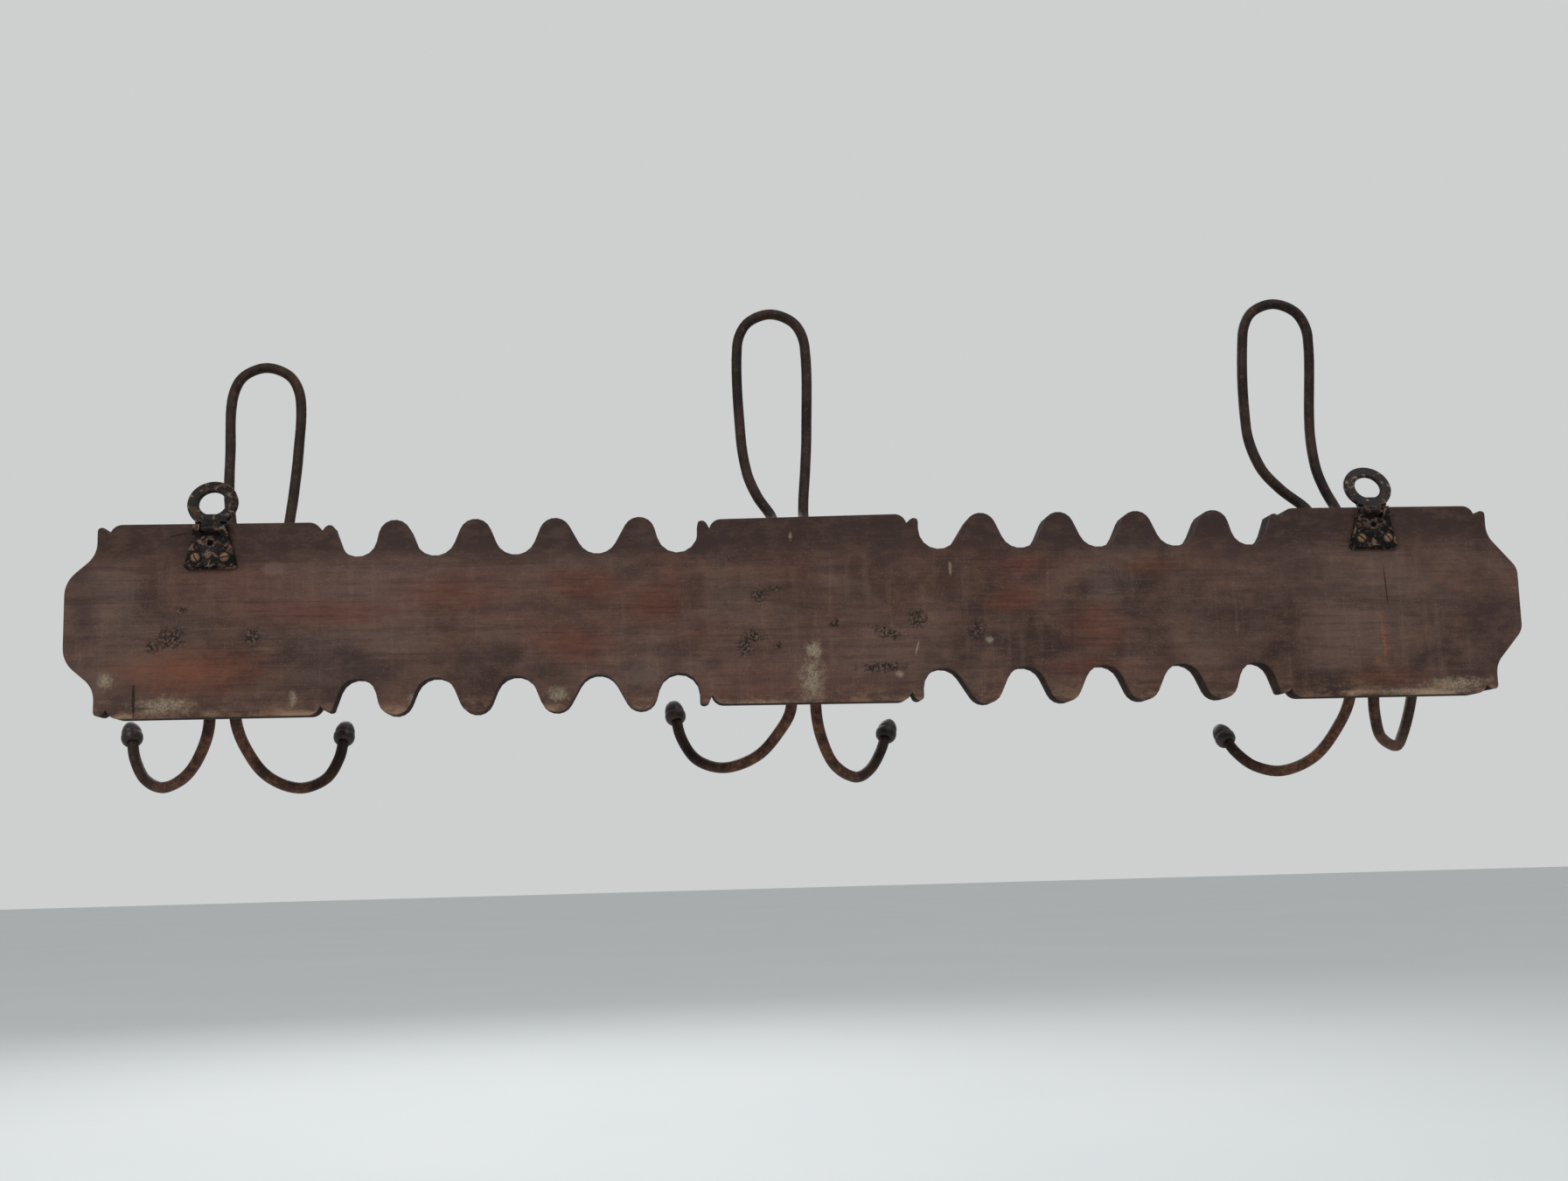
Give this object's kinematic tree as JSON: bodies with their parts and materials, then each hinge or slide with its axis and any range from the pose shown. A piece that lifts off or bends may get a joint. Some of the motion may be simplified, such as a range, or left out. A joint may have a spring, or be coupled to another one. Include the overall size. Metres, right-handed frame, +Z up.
{
  "type": "wall hook rack",
  "caption": "Scroll-sawn board that hangs from ring hangers on its back and carries bent-wire hat and coat hooks with acorn tips on its front.",
  "frame": {"origin": "centre of the board's back face, the side that faces the wall", "axes": "+X along the board, to the left as seen from behind; +Y out of the back, towards the wall; +Z up, the way the hat loops point"},
  "size_m": [0.8, 0.1561, 0.3015],
  "materials": {
    "wood": "dark stained, dull and worn, with dusty grey bloom",
    "hook_iron": "blackened wire gone brown with rust",
    "acorn_iron": "blackened, slightly shiny where handled",
    "saddle_iron": "dull black with rust",
    "saddle_screws": "rusted",
    "black_sheet": "black japan, chipped to brown iron at its edges",
    "black_ring": "black japan, worn brown inside the eye",
    "eyelet": "worn black",
    "hanger_screws": "brown, tarnished and rusted"
  },
  "bodies": {
    "rack": {"backboard": "wood", "hook_wire_left": "hook_iron", "hook_wire_centre": "hook_iron", "hook_wire_right": "hook_iron", "acorn_left_outer": "acorn_iron", "acorn_left_inner": "acorn_iron", "acorn_centre_left": "acorn_iron", "acorn_centre_right": "acorn_iron", "acorn_right_inner": "acorn_iron", "acorn_right_outer": "acorn_iron", "hook_saddle_left": "saddle_iron", "hook_saddle_centre": "saddle_iron", "hook_saddle_right": "saddle_iron", "saddle_screws_left": "saddle_screws", "saddle_screws_centre": "saddle_screws", "saddle_screws_right": "saddle_screws", "hanger_strap_left": "black_sheet", "hanger_eyelet_left": "eyelet", "hanger_screws_left": "hanger_screws", "hanger_strap_right": "black_sheet", "hanger_eyelet_right": "eyelet", "hanger_screws_right": "hanger_screws"},
    "left_ring": {"hanger_ring_left": "black_ring"},
    "right_ring": {"hanger_ring_right": "black_ring"}
  },
  "joints": [
    {"name": "left_ring_hinge", "type": "hinge", "parent": "rack", "child": "left_ring", "pos_m": [0.3237, 0.00286, 0.0486], "axis": [-1, 0, 0], "range_deg": [0, 150]},
    {"name": "right_ring_hinge", "type": "hinge", "parent": "rack", "child": "right_ring", "pos_m": [-0.3173, 0.00286, 0.0507], "axis": [-1, 0, 0], "range_deg": [0, 150]}
  ]
}
